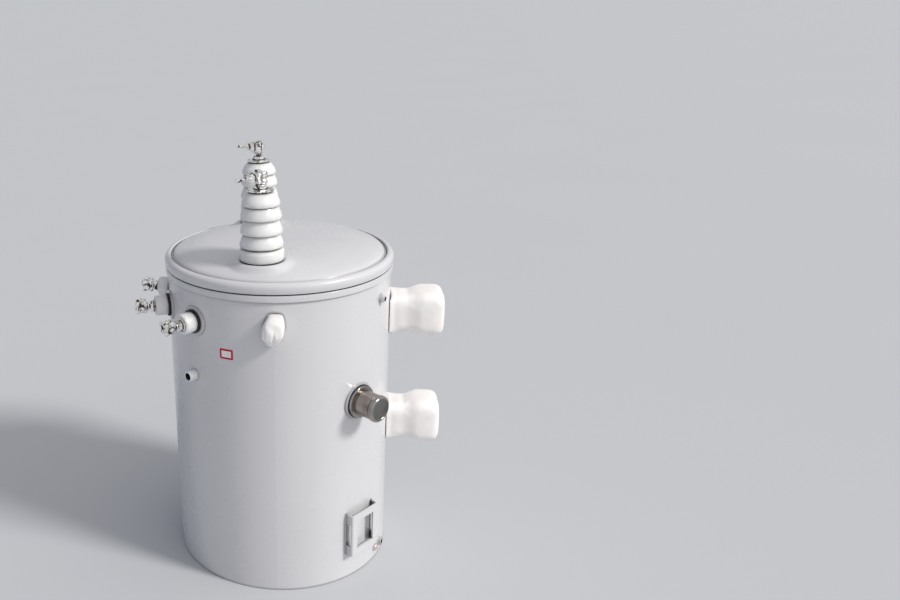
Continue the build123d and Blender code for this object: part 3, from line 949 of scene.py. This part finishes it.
def make_hanger_wraps():
    """Foam off the wall that widens to a soft square head over the hanger's face."""
    for seed, (level, height) in enumerate(HANGER_HEIGHTS.items(), start=3):
        neck, head = FOAM_SHIFTS[level]
        rings = []
        for out, half, corner in HANGER_WRAP:
            lift = neck + (head - neck) * limited((out - NECK_LENGTH) / NECK_TO_HEAD)
            points = rounded_ring(half, half, corner)
            rings.append([(x, y + lift, depth_on_wall(x, out)) for x, y in points])
        shape = Shape()
        shape.rings(rings, wall_place(HANGER_ANGLE, height))
        wrap = shape.piece(f"hanger_foam_{level}", [MATERIALS["foam"]])
        puff(wrap, seed * 7.3, crumpled=1.0, grip=7)
        declare_foam(wrap, f"hanger_wrap_{level}")


def make_lug_wraps():
    """Foam bags that taper downward round the lugs, with a pinch where the sheet is gathered."""
    for seed, (side, angle) in enumerate(LUG_ANGLES.items(), start=1):
        rings = []
        for height, half, reach, shift in LUG_WRAP:
            ring = []
            for x, y in rounded_ring(half, reach / 2, min(half, reach / 2) * LUG_CORNER):
                out = max(depth_on_wall(x, LUG_FOAM_START), TANK_RADIUS + y + reach / 2)
                ring.append((x + shift, height, out))
            rings.append(ring)
        place = wall_place(angle, LUG_HEIGHT)
        shape = Shape()
        shape.rings(rings, place)
        wrap = shape.piece(f"lug_foam_{side}", [MATERIALS["foam"]])
        puff(wrap, seed * 5.1, crumpled=2.6, grip=6)
        pinch(wrap, place)
        declare_foam(wrap, f"lug_wrap_{side}")


def pinch(piece, place):
    """Presses the gathered fold into the lower front of a lug's wrap and lifts the lip beside it."""

    def rise(x, y, form, power=2):
        across, width, middle, tall, height = form
        return bell(x - across, width) * bell(y - middle, tall, power) * height

    back = place.inverted()
    for vertex in piece.data.vertices:
        x, y, out = (back @ vertex.co) / MM
        outer = limited((out - TANK_RADIUS - PINCH_FADE) / PINCH_FADE)
        lean = (y - PINCH_VALLEY[2]) * VALLEY_LEAN
        total = rise(x, y, PINCH_LIP) + rise(x - lean, y, PINCH_VALLEY) + rise(x, y, PINCH_EDGE, 4)
        vertex.co += place.to_3x3() @ Vector((0, 0, total * outer * MM))


# Welds, sticker and small fittings


def make_welds():
    """Thin beads where bosses, seats and the bracket meet the wall."""
    shape = Shape()
    for seed, ring in enumerate(RING_WELDS):
        weld_ring(shape, *ring, seed * 3.7)
    welds = shape.piece("weld_beads", [MATERIALS["tank_paint"]], sharp=80)
    for name, side in (("left", -1), ("right", 1)):
        x = side * (BRACKET_HALF_WIDTH + BRACKET_WELD_OFFSET)
        shape = Shape()
        weld_line(shape, BRACKET_ANGLE, x, *BRACKET_SPAN, BRACKET_WELD, side * 11.0)
        line = shape.piece(f"bracket_weld_{name}", [MATERIALS["tank_paint"]], sharp=80)


def make_sticker():
    """A bare paper label with a red border, laid on the curve of the wall."""
    place = wall_place(*STICKER)
    half_width, half_tall = STICKER_HALF
    rings = []
    for inset, lift in STICKER_ROWS:
        corner = STICKER_CORNER if inset == 0 else FACE_CORNER
        points = rounded_ring(half_width - inset, half_tall - inset, corner)
        rings.append([on_wall(place, x, y, lift)[0] / MM for x, y in points])
    shape = Shape()
    shape.rings(rings, slot=STICKER_SLOTS)
    shape.piece("front_sticker", [STICKER_RED, STICKER_WHITE], sharp=60)


def make_rim_hole_shades():
    """Black plugs with a socket in the small bosses near the rim, standing in for the shade in their open
    holes.
    """
    for side, angle in RIM_PLUGS.items():
        shape = Shape()
        shape.lathe(RIM_HOLE_SHADE, wall_place(angle, RIM_PLUG_HEIGHT, TANK_RADIUS + RIM_HOLE_SHADE_START))
        shape.piece(f"rim_hole_shade_{side}", [MATERIALS["gasket_rubber"]])


# Camera, floor and light


def make_camera():
    """The photograph's view: an off-centre crop, so the camera is shifted."""
    data = bpy.data.cameras.new("camera")
    camera = bpy.data.objects.new("camera", data)
    bpy.context.scene.collection.objects.link(camera)
    ahead = Vector((
        math.cos(CAMERA_AZIMUTH) * math.cos(CAMERA_PITCH),
        math.sin(CAMERA_AZIMUTH) * math.cos(CAMERA_PITCH),
        -math.sin(CAMERA_PITCH),
    ))
    side = Vector((math.sin(CAMERA_AZIMUTH), -math.cos(CAMERA_AZIMUTH), 0.0))
    over = side.cross(ahead)
    right = math.cos(CAMERA_ROLL) * side + math.sin(CAMERA_ROLL) * over
    up = math.cos(CAMERA_ROLL) * over - math.sin(CAMERA_ROLL) * side
    turn = Matrix((right, up, -ahead)).transposed().to_4x4()
    camera.matrix_world = Matrix.Translation(CAMERA_PLACE) @ turn
    data.sensor_width = SENSOR_WIDTH
    data.lens = FOCAL_PIXELS * data.sensor_width / PHOTO_WIDTH
    data.shift_x = (PHOTO_WIDTH / 2 - PRINCIPAL_POINT[0]) / PHOTO_WIDTH
    data.shift_y = (PRINCIPAL_POINT[1] - PHOTO_HEIGHT / 2) / PHOTO_WIDTH
    data.clip_end = FAR_CLIP
    bpy.context.scene.camera = camera


def make_floor():
    """A wide floor of one pale tone, for the stage only."""
    corners = [(x * FLOOR_HALF, y * FLOOR_HALF, 0) for x, y in ((-1, -1), (1, -1), (1, 1), (-1, 1))]
    mesh = bpy.data.meshes.new("floor")
    mesh.from_pydata(corners, [], [(0, 1, 2, 3)])
    floor = bpy.data.objects.new("floor", mesh)
    bpy.context.scene.collection.objects.link(floor)
    surface = Surface("floor", Roughness=0.75, Specular_IOR_Level=0.2)
    surface.colours(surface.noise(0.8), (0.2, (0.552, 0.567, 0.588)), (0.8, (0.559, 0.574, 0.595)))
    mesh.materials.append(surface.material)


def add_sun(name, azimuth, elevation, strength, spread, colour):
    """A soft distant lamp that shines from that direction, seen from the object."""
    data = bpy.data.lights.new(name, "SUN")
    data.energy = strength
    data.angle = math.radians(spread)
    data.color = colour
    lamp = bpy.data.objects.new(name, data)
    turn, rise = math.radians(azimuth), math.radians(elevation)
    source = Vector((math.cos(turn) * math.cos(rise), math.sin(turn) * math.cos(rise), math.sin(rise)))
    lamp.rotation_euler = source.to_track_quat("Z", "Y").to_euler()
    lamp.location = source * LAMP_DISTANCE
    bpy.context.scene.collection.objects.link(lamp)


def make_world():
    """Light that is warm from the lamp's side and dim and cool from the other, and a pale backdrop."""
    world = bpy.data.worlds.new("world")
    bpy.context.scene.world = world
    world.use_nodes = True
    tree = world.node_tree
    coords = tree.nodes.new("ShaderNodeTexCoord")
    towards = tree.nodes.new("ShaderNodeVectorMath")
    towards.operation = "DOT_PRODUCT"
    towards.inputs[1].default_value = LAMP_SIDE
    tree.links.new(coords.outputs["Generated"], towards.inputs[0])
    direction = map_range(tree, towards.outputs["Value"], *LAMP_SPREAD)
    light = colour_ramp(tree, direction, *zip((0, 1), LIGHT_TONES))
    backdrop = colour_ramp(tree, direction, *zip((0, 1), BACKDROP_TONES))
    path = tree.nodes.new("ShaderNodeLightPath")
    seen = path.outputs["Is Camera Ray"]
    for kind in ("Is Glossy Ray", "Is Transmission Ray"):
        either = tree.nodes.new("ShaderNodeMath")
        either.operation = "MAXIMUM"
        tree.links.new(seen, either.inputs[0])
        tree.links.new(path.outputs[kind], either.inputs[1])
        seen = either.outputs["Value"]
    mix = colour_mix(tree, seen)
    tree.links.new(light, mix.inputs[MIX_FIRST])
    tree.links.new(backdrop, mix.inputs[MIX_SECOND])
    tree.links.new(mix.outputs[MIX_RESULT], tree.nodes["Background"].inputs["Color"])
    tree.nodes["Background"].inputs["Strength"].default_value = 1.0


make_camera()
make_floor()
make_world()
add_sun("key", azimuth=67, elevation=38, strength=2.25, spread=12, colour=(1.0, 0.985, 0.96))
dress_nodes()
place_clamps()
make_porcelain_bodies()
make_cover()
make_rim_rings()
make_tap_changer()
make_hanger_wraps()
make_lug_wraps()
make_welds()
make_sticker()
make_rim_hole_shades()
bpy.context.scene.view_settings.view_transform = "Standard"

bpy.context.view_layer.update()
